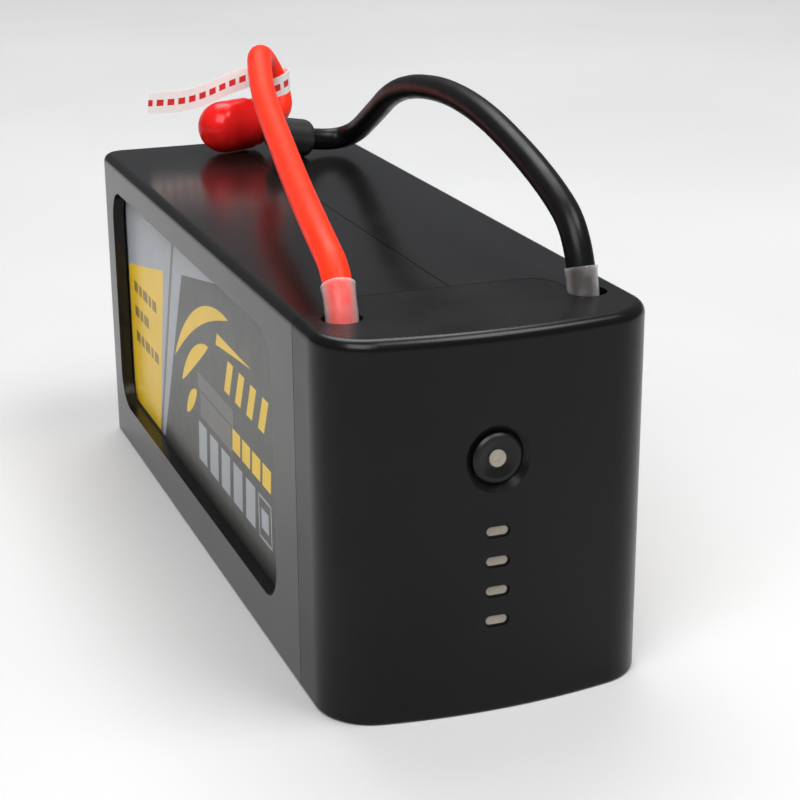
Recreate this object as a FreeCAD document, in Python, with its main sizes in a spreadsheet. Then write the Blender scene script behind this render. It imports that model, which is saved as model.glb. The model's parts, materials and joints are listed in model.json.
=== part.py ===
"""LiPo battery pack for drones: two half shells and a front cap round a block of pouch cells,
with a charge indicator, two heavy silicone leads and their bullet connectors.

Frame: +Z up, +X across the pack, front face (button and lights) towards -Y,
origin at the middle of the flat bottom. Millimetres.
"""
import FreeCAD, Part
import math
import os

from FreeCAD import Placement, Rotation, Vector

doc = FreeCAD.newDocument("battery_pack")

# ---------------------------------------------------------------- driving dimensions

DIMENSIONS = {
    # case
    "case_width": 72.0,
    "case_length": 205.0,
    "case_height": 82.0,
    "wall": 2.4,
    "side_wall": 3.0,
    "bow_radius": 140.0,
    "front_corner": 12.5,
    "rear_corner": 6.0,
    "top_round": 2.3,
    "bottom_round": 0.8,
    "seam_gap": 0.22,
    "seam_offset": 1.6,
    "cap_depth": 24.5,
    "tongue_depth": 34.0,
    "tongue_half": 24.0,
    "tongue_round": 7.0,
    "spigot": 1.1,
    "spigot_reach": 5.0,
    "spigot_play": 0.15,
    # side windows
    "window_front": 40.5,
    "window_length": 151.0,
    "window_base": 11.4,
    "window_height": 62.5,
    "window_round": 9.0,
    "cover_sheet": 0.6,
    "label_sheet": 0.4,
    "label_margin": 3.6,
    # button and lights
    "panel_offset": -1.5,
    "button_height": 55.7,
    "button_radius": 5.3,
    "button_play": 0.25,
    "dish_radius": 7.4,
    "dish_depth": 1.3,
    "button_face": 0.5,
    "button_flange": 1.1,
    "button_lens_radius": 1.8,
    "stem_radius": 2.6,
    "switch_side": 6.2,
    "switch_deep": 3.0,
    "plunger_radius": 1.72,
    "light_top": 40.2,
    "light_pitch": 6.53,
    "light_width": 4.8,
    "light_height": 2.0,
    "lip": 0.35,
    "pipe_flange_width": 7.2,
    "pipe_flange_tall": 3.6,
    "lamp_width": 3.2,
    "lamp_tall": 1.6,
    "lamp_deep": 1.0,
    "indicator_plane": 9.4,
    "indicator_width": 27.0,
    "indicator_tall": 54.0,
    "indicator_base": 12.0,
    "post_radius": 2.3,
    "screw_radius": 0.95,
    "pilot_radius": 1.0,
    "board_sheet": 1.6,
    # leads
    "lead_radius": 3.15,
    "sleeve_radius": 3.55,
    "red_sleeve_above": 5.7,
    "black_sleeve_above": 5.4,
    "hole_radius": 4.25,
    "hole_spacing": 53.8,
    "lead_spacing": 53.0,
    "lead_setback": 20.2,
    "lug_barrel_radius": 3.4,
    "lug_barrel_length": 13.0,
    "lug_sheet": 1.8,
    "lug_width": 9.4,
    # cells
    "cell_sheet": 10.2,
    "cell_gap": 0.4,
    "cell_length": 166.0,
    "cell_tall": 74.0,
    "cell_base": 3.8,
    "cell_rear": 98.3,
    "cell_round": 1.6,
    "tab_reach": 6.6,
    "tab_sheet": 0.35,
    "tab_tall": 13.0,
    "tab_low": 22.0,
    "tab_high": 60.0,
    "busbar_sheet": 1.0,
    "busbar_width": 8.6,
    "pad_width": 62.0,
    # main board
    "board_width": 61.6,
    "board_tall": 72.0,
    "board_base": 4.8,
    "board_gap": 1.1,
    "insulator_width": 63.0,
    "insulator_tall": 73.0,
    "insulator_base": 4.4,
    "insulator_sheet": 1.2,
    "boss_radius": 2.6,
    "transistor_width": 10.0,
    "transistor_deep": 4.4,
    "transistor_tall": 9.4,
    "transistor_pitch": 11.2,
    "transistor_rise": 11.4,
    "transistor_base": 11.5,
    "bank_half": 21.8,
    "spreader_width": 46.0,
    "spreader_tall": 23.0,
    "stud_radius": 1.95,
    "stud_head_radius": 3.6,
}

sheet = doc.addObject("Spreadsheet::Sheet", "dims")
for row, (alias, number) in enumerate(DIMENSIONS.items(), start=1):
    sheet.set(f"A{row}", alias)
    sheet.set(f"B{row}", str(number))
    sheet.setAlias(f"B{row}", alias)
doc.recompute()

CELLS = 6
LIGHTS = 4
FRONT = "-@case_length/2"
BOARD_FACE = FRONT + " + @indicator_plane"


def sized(text):
    """An expression in which each bare alias is read from the sheet."""
    for alias in sorted(DIMENSIONS, key=len, reverse=True):
        text = text.replace("@" + alias, "dims." + alias)
    return text


def value(text):
    """The number that an expression gives now."""
    return float(sheet.evalExpression(sized(text)))


# ---------------------------------------------------------------- small helpers


def place(item, corner):
    for axis, text in zip("xyz", corner):
        item.setExpression("Placement.Base." + axis, sized(text))
    return item


def box(name, size, corner):
    item = doc.addObject("Part::Box", name)
    for prop, text in zip(("Length", "Width", "Height"), size):
        item.setExpression(prop, sized(text))
    return place(item, corner)


UPRIGHT = Rotation()
BACKWARDS = Rotation(Vector(1, 0, 0), -90)


def cylinder(name, radius, height, base, turn=UPRIGHT):
    """A cylinder from its base centre: up by default, or turned to run along +Y."""
    item = doc.addObject("Part::Cylinder", name)
    item.setExpression("Radius", sized(radius))
    item.setExpression("Height", sized(height))
    item.Placement = Placement(Vector(), turn)
    return place(item, base)


def cone(name, first, second, height, base, turn=UPRIGHT):
    item = doc.addObject("Part::Cone", name)
    item.setExpression("Radius1", sized(first))
    item.setExpression("Radius2", sized(second))
    item.setExpression("Height", sized(height))
    item.Placement = Placement(Vector(), turn)
    return place(item, base)


def sphere(name, radius, centre):
    item = doc.addObject("Part::Sphere", name)
    item.setExpression("Radius", sized(radius))
    return place(item, centre)


def fuse(name, items):
    item = doc.addObject("Part::MultiFuse", name)
    item.Shapes = items
    return item


def common(name, items):
    item = doc.addObject("Part::MultiCommon", name)
    item.Shapes = items
    return item


def cut(name, base, tools):
    item = doc.addObject("Part::Cut", name)
    item.Base = base
    item.Tool = tools[0] if len(tools) == 1 else fuse(name + "_tools", tools)
    return item


def group(name, items):
    """Separate solids that share one node."""
    item = doc.addObject("Part::Compound", name)
    item.Links = items
    return item


def rounded(name, base, radius, test):
    """Part::Fillet on the edges whose two end points pass the test."""
    doc.recompute()
    chosen = []
    for number, edge in enumerate(base.Shape.Edges, start=1):
        first, last = edge.Vertexes[0].Point, edge.Vertexes[-1].Point
        if test(first, last):
            chosen.append((number, radius, radius))
    item = doc.addObject("Part::Fillet", name)
    item.Base = base
    item.Edges = chosen
    return item


def near(a, b):
    return abs(a - b) < 0.01


def upright_edge(first, last):
    return near(first.x, last.x) and near(first.y, last.y) and not near(first.z, last.z)


NODES = []


def node(item, label):
    """Names a finished sub-part; its label is the file it is written to."""
    item.Label = label
    NODES.append(item)
    return item


# ---------------------------------------------------------------- case


def case_block(name, side, end):
    """The case's outer form, or with an inset, the room inside it: bowed front, round corners."""
    size = (f"@case_width - 2*{side}", f"@case_length - 2*{end}", f"@case_height - 2*{end}")
    corner = (f"-@case_width/2 + {side}", f"-@case_length/2 + {end}", end)
    block = box(name + "_block", size, corner)
    centre = ("0", "-@case_length/2 + @bow_radius", end)
    bow = cylinder(name + "_bow", f"@bow_radius - {end}", f"@case_height - 2*{end}", centre)
    bowed = common(name + "_bowed", [block, bow])
    front = rounded(
        name + "_front",
        bowed,
        value(f"@front_corner - {end}"),
        lambda a, b: upright_edge(a, b) and a.y < 0,
    )
    return rounded(
        name + "_corners",
        front,
        value(f"@rear_corner - {end}"),
        lambda a, b: upright_edge(a, b) and a.y > value("@case_length/4"),
    )


def outer_form():
    corners = case_block("outer", "0", "0")
    height = value("@case_height")
    top = rounded(
        "outer_top", corners, value("@top_round"), lambda a, b: near(a.z, height) and near(b.z, height)
    )
    return rounded(
        "outer_form", top, value("@bottom_round"), lambda a, b: near(a.z, 0) and near(b.z, 0)
    )


def window_opening(side):
    """The rounded opening in one side wall, cut right through it."""
    start = "-@case_width/2 - 1" if side == "left" else "@case_width/2 - @side_wall - 1"
    size = ("@side_wall + 2", "@window_length", "@window_height")
    corner = (start, "-@case_length/2 + @window_front", "@window_base")
    block = box(side + "_window_block", size, corner)
    return rounded(
        side + "_window",
        block,
        value("@window_round"),
        lambda a, b: near(a.y, b.y) and near(a.z, b.z) and not near(a.x, b.x),
    )


def tongue_form(name, margin):
    """Plan form of the cap's tongue, between the two lead holes, above the case's top wall."""
    size = (
        f"2*@tongue_half + 2*{margin}",
        f"@tongue_depth - @cap_depth + 4 + {margin}",
        "@wall + 2",
    )
    corner = (
        f"-@tongue_half - {margin}",
        "-@case_length/2 + @cap_depth - 4",
        "@case_height - @wall - 0.5",
    )
    block = box(name + "_block", size, corner)
    return rounded(
        name,
        block,
        value("@tongue_round"),
        lambda a, b: upright_edge(a, b) and a.y > value("-@case_length/2 + @cap_depth"),
    )


def lead_holes(name):
    holes = []
    for side, sign in (("left", "-"), ("right", "")):
        centre = (sign + "@hole_spacing/2", "-@case_length/2 + @lead_setback", "@case_height - 6")
        holes.append(cylinder(f"{name}_{side}", "@hole_radius", "12", centre))
    return fuse(name, holes)


outer = outer_form()
room = case_block("room", "@side_wall", "@wall")
holes = lead_holes("lead_holes")


def half_shell(side):
    """One side of the body: wall, floor, roof and rear, split along the top and bottom seam."""
    depth = "@case_length - @cap_depth - @seam_gap/2 + 1"
    start_y = "-@case_length/2 + @cap_depth + @seam_gap/2"
    if side == "left":
        size = ("@case_width/2 + @seam_offset - @seam_gap/2 + 1", depth, "@case_height + 2")
        corner = ("-@case_width/2 - 1", start_y, "-1")
    else:
        size = ("@case_width/2 - @seam_offset - @seam_gap/2 + 1", depth, "@case_height + 2")
        corner = ("@seam_offset + @seam_gap/2", start_y, "-1")
    region = box(side + "_region", size, corner)
    half = common(side + "_half", [outer, region])
    tools = [room, window_opening(side), tongue_form(side + "_tongue_room", "@seam_gap"), holes]
    return node(cut(side + "_shell_solid", half, tools), side + "_shell")


def stadium(name, width, height, start_y, depth, centre_z):
    """A slot-shaped bar along +Y, centred on the panel's column."""
    body = box(
        name + "_bar",
        (f"({width}) - ({height})", depth, height),
        (f"@panel_offset - (({width}) - ({height}))/2", start_y, f"{centre_z} - ({height})/2"),
    )
    ends = []
    for side, sign in (("a", "-"), ("b", "+")):
        base = (f"@panel_offset {sign} (({width}) - ({height}))/2", start_y, centre_z)
        ends.append(cylinder(f"{name}_end_{side}", f"({height})/2", depth, base, BACKWARDS))
    return fuse(name, [body] + ends)


def light_height(number):
    return f"(@light_top - {number}*@light_pitch)"


def indicator_corners():
    """Tag, x and z of each screw that holds the indicator board to the front cap."""
    for tag, x in (("left", "@panel_offset - 11"), ("right", "@panel_offset + 11")):
        for level in ("15", "63"):
            yield tag + level, x, level


def indicator_posts():
    """Hollow posts inside the cap, from its front wall to the indicator board."""
    posts = []
    pilots = []
    for tag, x, level in indicator_corners():
        start = (x, FRONT + " + @wall - 0.6", level)
        depth = "@indicator_plane - @wall + 0.58"
        posts.append(cylinder("post_" + tag, "@post_radius", depth, start, BACKWARDS))
        pilot_start = (x, FRONT + " + @wall + 1.5", level)
        pilots.append(cylinder("pilot_" + tag, "@pilot_radius", "@indicator_plane", pilot_start, BACKWARDS))
    return posts, pilots


def inner_block(name, side, end, start, depth):
    """A block inside the case, inset from its side walls and from its roof and floor."""
    size = (f"@case_width - 2*{side}", depth, f"@case_height - 2*{end}")
    return box(name, size, (f"-@case_width/2 + {side}", start, end))


def cap_spigot():
    """The frame that fits inside the half shells, and the web that joins it to the cap's wall."""
    side = "(@side_wall + @spigot_play)"
    end = "(@wall + @spigot_play)"
    root = FRONT + " + @cap_depth - 3"
    ring = inner_block("spigot_block", side, end, root, "@spigot_reach + 3")
    web = inner_block("web_block", "(@side_wall - 0.5)", "(@wall - 0.5)", root, "2.6")
    hollow = inner_block(
        "spigot_hollow", f"({side} + @spigot)", f"({end} + @spigot)", root + " - 1", "@spigot_reach + 5"
    )
    return cut("cap_spigot", fuse("cap_frame", [ring, web]), [hollow])


def front_cap():
    """The front shell: bowed face, tongue on the roof, spigot that fits inside the half shells."""
    size = ("@case_width + 2", "@cap_depth - @seam_gap/2 + 1", "@case_height + 2")
    region = box("cap_region", size, ("-@case_width/2 - 1", "-@case_length/2 - 1", "-1"))
    zone = fuse("cap_zone", [region, tongue_form("cap_tongue", "0")])
    skin = cut("cap_skin", common("cap_solid", [outer, zone]), [room])
    posts, pilots = indicator_posts()
    solid = fuse("cap_joined", [skin, cap_spigot()] + posts)
    button = ("@panel_offset", FRONT + " - 0.1", "@button_height")
    tools = [
        holes,
        cone("dish", "@dish_radius", "@button_radius + @button_play", "@dish_depth", button, BACKWARDS),
        cylinder("button_hole", "@button_radius + @button_play", "@wall + 2", button, BACKWARDS),
    ]
    for number in range(LIGHTS):
        centre = light_height(number)
        tools.append(
            stadium(f"window_{number}", "@light_width", "@light_height", FRONT + " - 1", "6", centre)
        )
        tools.append(
            stadium(
                f"window_lip_{number}",
                "@light_width + 2*@lip",
                "@light_height + 2*@lip",
                FRONT + " - 1",
                "1 + @lip",
                centre,
            )
        )
    return node(cut("front_cap_solid", solid, tools + pilots), "front_cap")


half_shell("left")
half_shell("right")
front_cap()


def window_sheet(side, kind, inset, thickness):
    """A flat sheet behind a window, its face set back from the case's side wall."""
    face = f"@case_width/2 - @side_wall - ({inset})"
    start = f"-({face})" if side == "left" else f"{face} - {thickness}"
    size = (
        thickness,
        "@window_length + 2*@label_margin",
        "@window_height + 2*@label_margin",
    )
    corner = (start, "-@case_length/2 + @window_front - @label_margin", "@window_base - @label_margin")
    return node(box(f"{side}_{kind}_sheet", size, corner), f"{side}_{kind}")


for side in ("left", "right"):
    window_sheet(side, "window_cover", "0.05", "@cover_sheet")
    window_sheet(side, "label", "0.07 + @cover_sheet", "@label_sheet")

# ---------------------------------------------------------------- button and charge lights

def on_column(radius, name, start, depth):
    """A cylinder on the button's axis; start is counted from the front face."""
    base = ("@panel_offset", f"{FRONT} + {start}", "@button_height")
    return cylinder(name, radius, depth, base, BACKWARDS)


def button():
    """Round push button: a dished cap with a flange behind the wall and a stem on the switch."""
    head = on_column("@button_radius", "button_head", "@button_face", "2.6")
    rim_start = ("@panel_offset", FRONT + " + 0.1", "@button_height")
    rim = cone("button_rim", "@button_radius - 0.45", "@button_radius", "0.4", rim_start, BACKWARDS)
    flange = on_column("@button_radius + @button_flange", "button_flange", "@wall + 0.35", "0.8")
    stem = on_column("@stem_radius", "button_stem", "@wall + 1", "1.5")
    solid = fuse("button_joined", [head, rim, flange, stem])
    dish_start = ("@panel_offset", FRONT + " + 0.099", "@button_height")
    edge, middle = "@button_radius - 1.2", "@button_lens_radius + 0.5"
    dish = cone("button_dish", edge, middle, "0.6", dish_start, BACKWARDS)
    bore = on_column("@button_lens_radius + 0.02", "button_bore", "0", "3.4")
    node(cut("button_cap_solid", solid, [dish, bore]), "button_cap")
    rod = on_column("@button_lens_radius", "button_lens_rod", "0.45", "2.9")
    ball = sphere("lens_ball", "3.2", ("@panel_offset", FRONT + " + 0.35 + 3.2", "@button_height"))
    trim = on_column("@button_lens_radius", "lens_trim", "0.2", "1.2")
    node(fuse("button_lens_solid", [rod, common("button_lens_dome", [ball, trim])]), "button_lens")


def switch():
    """Tact switch on the indicator board: a square body round a plunger that the stem meets."""
    corner = (
        "@panel_offset - @switch_side/2",
        BOARD_FACE + " - @switch_deep",
        "@button_height - @switch_side/2",
    )
    body = box("switch_block", ("@switch_side", "@switch_deep", "@switch_side"), corner)
    well = on_column("@plunger_radius + 0.08", "switch_well", "@indicator_plane - 3.1", "2.0")
    node(cut("switch_body_solid", body, [well]), "switch_body")
    reach = "@indicator_plane - @wall - 2.5 - 2.1"
    node(on_column("@plunger_radius", "plunger_rod", "@wall + 2.5", reach), "switch_plunger")


def charge_lights():
    """Stadium light pipes in the panel, and the lamps that stand behind them and the button."""
    lamps = []
    for number in range(LIGHTS):
        centre = light_height(number)
        pipe = stadium(
            f"pipe_bar_{number}",
            "@light_width - 0.16",
            "@light_height - 0.16",
            FRONT + " + @lip + 0.1",
            "@indicator_plane - @lip - 1.3",
            centre,
        )
        flange = box(
            f"pipe_flange_{number}",
            ("@pipe_flange_width", "1.0", "@pipe_flange_tall"),
            (
                "@panel_offset - @pipe_flange_width/2",
                FRONT + " + @wall + 0.25",
                f"{centre} - @pipe_flange_tall/2",
            ),
        )
        node(fuse(f"pipe_{number}", [pipe, flange]), f"light_pipe_{number + 1}")
        lamps.append(
            box(
                f"lamp_{number}",
                ("@lamp_width", "@lamp_deep", "@lamp_tall"),
                (
                    "@panel_offset - @lamp_width/2",
                    BOARD_FACE + " - @lamp_deep",
                    f"{centre} - @lamp_tall/2",
                ),
            )
        )
    node(group("lamps", lamps), "indicator_lamps")


def indicator_board():
    board = box(
        "indicator_block",
        ("@indicator_width", "@board_sheet", "@indicator_tall"),
        ("@panel_offset - @indicator_width/2", BOARD_FACE, "@indicator_base"),
    )
    bores = []
    screws = []
    for tag, spot, level in indicator_corners():
        bore_start = (spot, BOARD_FACE + " - 1", level)
        bores.append(cylinder("board_bore_" + tag, "1.2", "3", bore_start, BACKWARDS))
        shank_start = (spot, BOARD_FACE + " - 2.4", level)
        shank = cylinder("screw_shank_" + tag, "@screw_radius", "4.2", shank_start, BACKWARDS)
        head_start = (spot, BOARD_FACE + " + @board_sheet + 0.02", level)
        head = cylinder("screw_head_" + tag, "2*@screw_radius", "1.3", head_start, BACKWARDS)
        screws.append(fuse("indicator_screw_" + tag, [shank, head]))
    node(cut("indicator_board_solid", board, bores), "indicator_board")
    node(group("indicator_screws", screws), "indicator_board_screws")


button()
switch()
charge_lights()
indicator_board()

# ---------------------------------------------------------------- cells and their pads


def cell_centre(number):
    return f"({number} - {(CELLS - 1) / 2})*(@cell_sheet + @cell_gap)"


CELL_FRONT = "@cell_rear - @cell_length"
TERRACE = "3.4"


def cell(number):
    """Pouch cell standing on edge: rounded body and the sealed terrace that its tabs leave."""
    centre = cell_centre(number)
    pouch = box(
        f"pouch_{number}",
        ("@cell_sheet", "@cell_length", "@cell_tall"),
        (f"{centre} - @cell_sheet/2", CELL_FRONT, "@cell_base"),
    )
    soft = rounded(
        f"pouch_round_{number}",
        pouch,
        value("@cell_round"),
        lambda a, b: near(a.x, b.x) and near(a.z, b.z) and not near(a.y, b.y),
    )
    terrace = box(
        f"terrace_{number}",
        ("1.6", TERRACE + " + 1", "@cell_tall - 5"),
        (f"{centre} - 0.8", f"{CELL_FRONT} - {TERRACE}", "@cell_base + 2.5"),
    )
    node(fuse(f"cell_body_{number}", [soft, terrace]), f"cell_{number + 1}")


def tab(number, level, name):
    return box(
        name,
        ("@tab_sheet", "@tab_reach - 3.4", "@tab_tall"),
        (
            f"{cell_centre(number)} - @tab_sheet/2",
            f"{CELL_FRONT} - @tab_reach",
            f"{level} - @tab_tall/2",
        ),
    )


def cell_tabs():
    """Neighbouring cells stand opposite ways round, so each link joins a plus to a minus."""
    plus = []
    minus = []
    for number in range(CELLS):
        levels = ("@tab_low", "@tab_high") if number % 2 == 0 else ("@tab_high", "@tab_low")
        plus.append(tab(number, levels[0], f"plus_tab_{number}"))
        minus.append(tab(number, levels[1], f"minus_tab_{number}"))
    node(group("plus_tabs", plus), "positive_cell_tabs")
    node(group("minus_tabs", minus), "negative_cell_tabs")


LINK_FACE = CELL_FRONT + " - @tab_reach - @busbar_sheet"


def cell_links():
    links = []
    for number in range(CELLS - 1):
        level = "@tab_high" if number % 2 == 0 else "@tab_low"
        links.append(
            box(
                f"link_{number}",
                ("@cell_sheet + @cell_gap + 5", "@busbar_sheet", "@tab_tall"),
                (f"{cell_centre(number)} - 2.5", LINK_FACE, f"{level} - @tab_tall/2"),
            )
        )
    node(group("links", links), "cell_links")


def pads():
    spacers = []
    for number in range(CELLS - 1):
        start = f"{cell_centre(number)} + @cell_sheet/2 + 0.02"
        spacers.append(
            box(
                f"spacer_{number}",
                ("@cell_gap - 0.04", "@cell_length - 20", "@cell_tall - 16"),
                (start, CELL_FRONT + " + 10", "@cell_base + 8"),
            )
        )
    node(group("spacers", spacers), "cell_spacer_pads")
    left, front = "-@pad_width/2", CELL_FRONT + " + 3"
    floor = ("@pad_width", "@cell_length - 6", "@cell_base - @wall - 0.1")
    node(box("floor_pad", floor, (left, front, "@wall + 0.05")), "bottom_foam_pad")
    roof = ("@pad_width", "@cell_length - 6", "@case_height - @wall - @cell_base - @cell_tall - 0.1")
    node(box("roof_pad", roof, (left, front, "@cell_base + @cell_tall + 0.05")), "top_foam_pad")
    rear = ("@pad_width - 4", "@case_length/2 - @wall - @cell_rear - 0.1", "@cell_tall - 6")
    node(box("end_pad", rear, (left + " + 2", "@cell_rear + 0.05", "@cell_base + 3")), "rear_foam_pad")


for number in range(CELLS):
    cell(number)
cell_tabs()
cell_links()
pads()

# ---------------------------------------------------------------- main board

BOARD_BACK = LINK_FACE + " - @board_gap"
BOARD_FRONT = BOARD_BACK + " - @board_sheet"
INSULATOR_BACK = f"{CELL_FRONT} - @tab_reach + 0.1"
BOARD_CORNERS = [(-26.0, 8.0), (26.0, 8.0), (-17.0, 73.5), (17.0, 73.5)]
LUG_SCREW = {"left": 40.0, "right": 48.0}
SIDES = (("left", "-"), ("right", ""))


def at_corners(kind, radius, depth, start_y):
    """Four cylinders along +Y, one at each corner fixing of the main board."""
    rods = []
    for number, (x, z) in enumerate(BOARD_CORNERS):
        base = (str(x), start_y, str(z))
        rods.append(cylinder(f"{kind}_{number}", radius, depth, base, BACKWARDS))
    return rods


def at_studs(kind, radius, depth, start_y):
    """Two cylinders along +Y, one on the axis of each lead's terminal screw."""
    rods = []
    for side, sign in SIDES:
        base = (f"{sign}@lead_spacing/2", start_y, str(LUG_SCREW[side]))
        rods.append(cylinder(f"{kind}_{side}", radius, depth, base, BACKWARDS))
    return rods


def tab_insulator():
    """Plastic plate that keeps the tabs apart, with a boss behind each corner of the board."""
    size = ("@insulator_width", "@insulator_sheet", "@insulator_tall")
    plate = box("insulator_plate", size, ("-@insulator_width/2", INSULATOR_BACK, "@insulator_base"))
    bosses = at_corners("boss", "@boss_radius", "2.6", BOARD_BACK + " + 0.02")
    tools = at_corners("boss_bore", "@pilot_radius", "4.5", BOARD_BACK + " - 1")
    tools += at_studs("insulator_hole", "@boss_radius", "3", INSULATOR_BACK + " - 0.6")
    for number in range(CELLS):
        for name in ("low", "high"):
            size = ("@tab_sheet + 0.5", "3", "@tab_tall + 0.6")
            corner = (
                f"{cell_centre(number)} - @tab_sheet/2 - 0.25",
                INSULATOR_BACK + " - 0.6",
                f"@tab_{name} - @tab_tall/2 - 0.3",
            )
            tools.append(box(f"slot_{number}_{name}", size, corner))
    solid = fuse("insulator_joined", [plate] + bosses)
    node(cut("tab_insulator_solid", solid, tools), "tab_insulator")


def main_board():
    size = ("@board_width", "@board_sheet", "@board_tall")
    board = box("board_plate", size, ("-@board_width/2", BOARD_FRONT, "@board_base"))
    tools = at_corners("corner_bore", "1.3", "3", BOARD_FRONT + " - 1")
    tools += at_studs("stud_bore", "2.2", "4", BOARD_FRONT + " - 1")
    node(cut("main_board_solid", board, tools), "main_board")
    shanks = at_corners("corner_shank", "@screw_radius", "4.6", BOARD_FRONT + " - 0.4")
    heads = at_corners("corner_head", "2.0", "1.3", BOARD_FRONT + " - 1.32")
    pairs = enumerate(zip(shanks, heads))
    screws = [fuse(f"corner_screw_{number}", list(pair)) for number, pair in pairs]
    node(group("corner_screws", screws), "main_board_screws")


def on_board(name, size, x, lift, z):
    """A block that stands on the main board's front face, lift millimetres clear of it."""
    return box(name, size, (x, f"{BOARD_FRONT} - {lift} - {size[1]}", z))


def board_parts():
    """What stands on the main board's front face, and the header across to the indicator board."""
    size = ("@transistor_width", "@transistor_deep", "@transistor_tall")
    transistors = []
    for column in range(4):
        for level in range(2):
            x = f"{column}*@transistor_pitch - @bank_half"
            z = f"@transistor_base + {level}*@transistor_rise"
            transistors.append(on_board(f"transistor_{column}_{level}", size, x, "0.02", z))
    node(group("transistors", transistors), "power_transistors")
    bank = ("2*@bank_half", "0.5", "@transistor_rise + @transistor_tall")
    pad_lift = "(@transistor_deep + 0.05)"
    node(on_board("pad_sheet", bank, "-@bank_half", pad_lift, "@transistor_base"), "thermal_pad")
    plate = ("@spreader_width", "2.0", "@spreader_tall")
    lift = "(@transistor_deep + 0.58)"
    spreader = on_board("spreader_plate", plate, "-@spreader_width/2", lift, "@transistor_base - 1.1")
    node(spreader, "heat_spreader")
    node(on_board("chip_block", ("9", "1.4", "9"), "-12", "0.02", "42"), "controller_chip")
    shunts = []
    for number in range(2):
        x = f"4 + {number}*8"
        shunts.append(on_board(f"shunt_{number}", ("6.4", "0.8", "3.2"), x, "0.02", "43"))
    node(group("shunts", shunts), "current_shunts")
    start = BOARD_FACE + " + @board_sheet + 0.02"
    depth = f"({BOARD_FRONT}) - ({start}) - 0.02"
    header = box("header_block", ("10", depth, "5"), ("@panel_offset - 5", start, "54"))
    node(header, "board_link_header")


def lug(side, sign, top):
    """Crimp lug on a lead's end: the barrel under the lead, the tongue flat on the board."""
    x = f"{sign}@lead_spacing/2"
    lead_y = FRONT + " + @lead_setback"
    screw = LUG_SCREW[side]
    foot = f"({top} - @lug_barrel_length)"
    barrel = cylinder(f"{side}_barrel", "@lug_barrel_radius", "@lug_barrel_length", (x, lead_y, foot))
    tongue = box(
        f"{side}_tongue",
        ("@lug_width", "@lug_sheet", f"{foot} + 1 - ({screw} - 5)"),
        (f"{x} - @lug_width/2", BOARD_FRONT + " - @lug_sheet - 0.02", f"{screw} - 5"),
    )
    bore = cylinder(f"{side}_lug_bore", "2.1", "4", (x, BOARD_FRONT + " - 3", str(screw)), BACKWARDS)
    solid = cut(f"{side}_lug_solid", fuse(f"{side}_lug_joined", [barrel, tongue]), [bore])
    return solid


def terminals():
    """Screw, spacer and busbar behind each lug."""
    heads = at_studs("stud_head", "@stud_head_radius", "2.6", BOARD_FRONT + " - 4.44")
    grip = "2 + 1.84 + @board_sheet + @board_gap + @busbar_sheet"
    shanks = at_studs("stud_shank", "@stud_radius", grip, BOARD_FRONT + " - 3.84")
    screws = [fuse(f"stud_{number}", list(pair)) for number, pair in enumerate(zip(heads, shanks))]
    node(group("studs", screws), "lug_screws")
    rings = at_studs("spacer_ring", "@stud_head_radius + 0.2", "1.06", BOARD_BACK + " + 0.02")
    bores = at_studs("spacer_bore", "@stud_radius + 0.1", "2", BOARD_BACK + " - 0.5")
    spacers = [cut(f"spacer_{ring.Name}", ring, [bore]) for ring, bore in zip(rings, bores)]
    node(group("stud_spacers", spacers), "busbar_spacers")
    bores = at_studs("bar_bore", "@stud_radius + 0.05", "3", LINK_FACE + " - 1")
    for (side, sign), name, bore in zip(SIDES, ("positive", "negative"), bores):
        size = ("@busbar_width", "@busbar_sheet", f"{LUG_SCREW[side]} + 5.5 - @tab_low + @tab_tall/2")
        start = (f"{sign}@lead_spacing/2 - @busbar_width/2", LINK_FACE, "@tab_low - @tab_tall/2")
        node(cut(f"{side}_bar_solid", box(f"{side}_bar", size, start), [bore]), f"{name}_busbar")


tab_insulator()
main_board()
board_parts()
terminals()

# ---------------------------------------------------------------- leads

RED_ROUTE = [
    (-26.5, -82.3, 65.5),
    (-26.4, -82.9, 88.0),
    (-23.4, -55.5, 94.3),
    (-16.1, -19.0, 96.0),
    (-9.0, 15.0, 98.2),
    (-2.3, 49.0, 101.3),
    (2.7, 70.5, 104.5),
    (9.6, 95.3, 109.0),
    (16.6, 100.0, 97.7),
    (15.6, 93.8, 89.4),
    (5.9, 89.5, 89.4),
]
BLACK_ROUTE = [
    (26.5, -82.3, 72.0),
    (26.5, -81.9, 91.7),
    (26.2, -61.0, 102.9),
    (26.8, -16.3, 112.6),
    (28.0, 29.4, 108.3),
    (29.2, 57.2, 94.2),
    (29.3, 70.3, 87.6),
    (23.7, 74.6, 85.4),
    (16.9, 73.1, 86.7),
]
ARC_SHARE = 0.45


def corner_arc(before, corner, after):
    """Start, middle and end of the arc that rounds one corner of a route, and its radius."""
    inward = corner - before
    outward = after - corner
    tangent = ARC_SHARE * min(inward.Length, outward.Length)
    inward.normalize()
    outward.normalize()
    half = inward.getAngle(outward) / 2
    radius = tangent / math.tan(half)
    towards = outward - inward
    towards.normalize()
    centre = corner + towards * (radius / math.cos(half))
    return corner - inward * tangent, centre - towards * radius, corner + outward * tangent, radius


def tube_path(route):
    points = [Vector(*point) for point in route]
    edges = []
    radii = []
    last = points[0]
    for before, corner, after in zip(points, points[1:], points[2:]):
        start, middle, end, radius = corner_arc(before, corner, after)
        edges.append(Part.LineSegment(last, start).toShape())
        edges.append(Part.Arc(start, middle, end).toShape())
        radii.append(radius)
        last = end
    edges.append(Part.LineSegment(last, points[-1]).toShape())
    return edges, radii


def swept(edges, radius):
    """A round tube's solid along joined edges, from the first edge's start."""
    first = edges[0]
    start = first.valueAt(first.FirstParameter)
    ahead = first.tangentAt(first.FirstParameter)
    ring = Part.Wire([Part.Circle(start, ahead, radius).toShape()])
    return Part.Wire(edges).makePipeShell([ring], True, False)


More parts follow.
